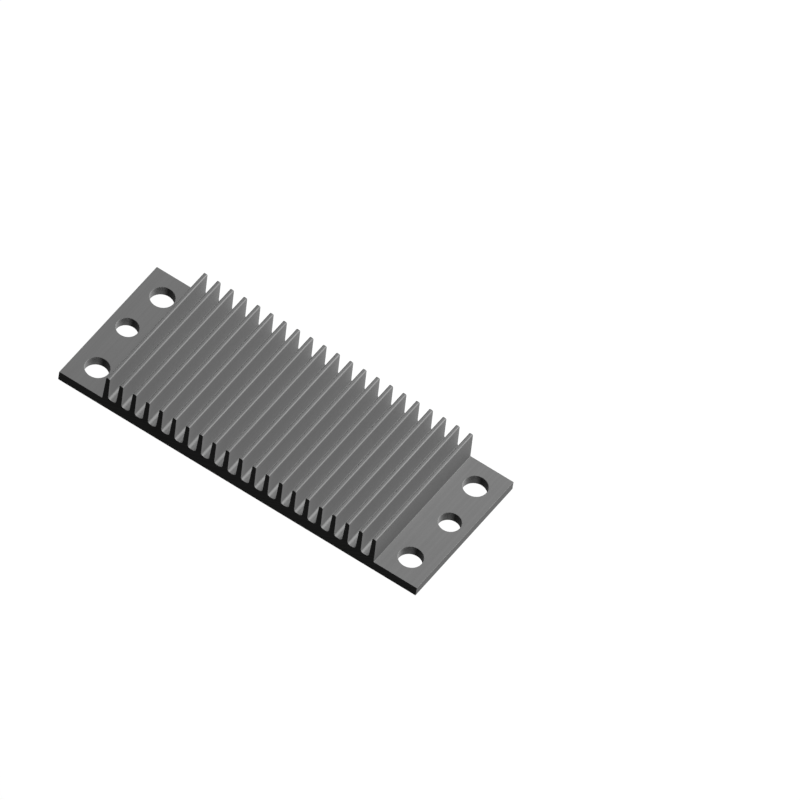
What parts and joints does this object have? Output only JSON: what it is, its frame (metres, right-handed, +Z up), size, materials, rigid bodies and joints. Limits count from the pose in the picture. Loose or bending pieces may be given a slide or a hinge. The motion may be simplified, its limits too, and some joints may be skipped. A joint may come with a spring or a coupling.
{
  "type": "extruded heat sink",
  "caption": "Low rectangular aluminium heat sink: a flat base with a drilled flange at each end and a bank of parallel tapered fins between them.",
  "frame": {"origin": "centre of the underside of the base, which seats on the module", "axes": "+X along the base and across the fins, +Y along the fins, which is the direction of extrusion, +Z up from the underside to the fin tips"},
  "size_m": [0.0584, 0.0232, 0.0061],
  "materials": {
    "anodised_aluminium": "satin grey anodised, with the die lines of the extrusion along the fins"
  },
  "bodies": {
    "root": {"heat_sink": "anodised_aluminium"}
  },
  "joints": []
}
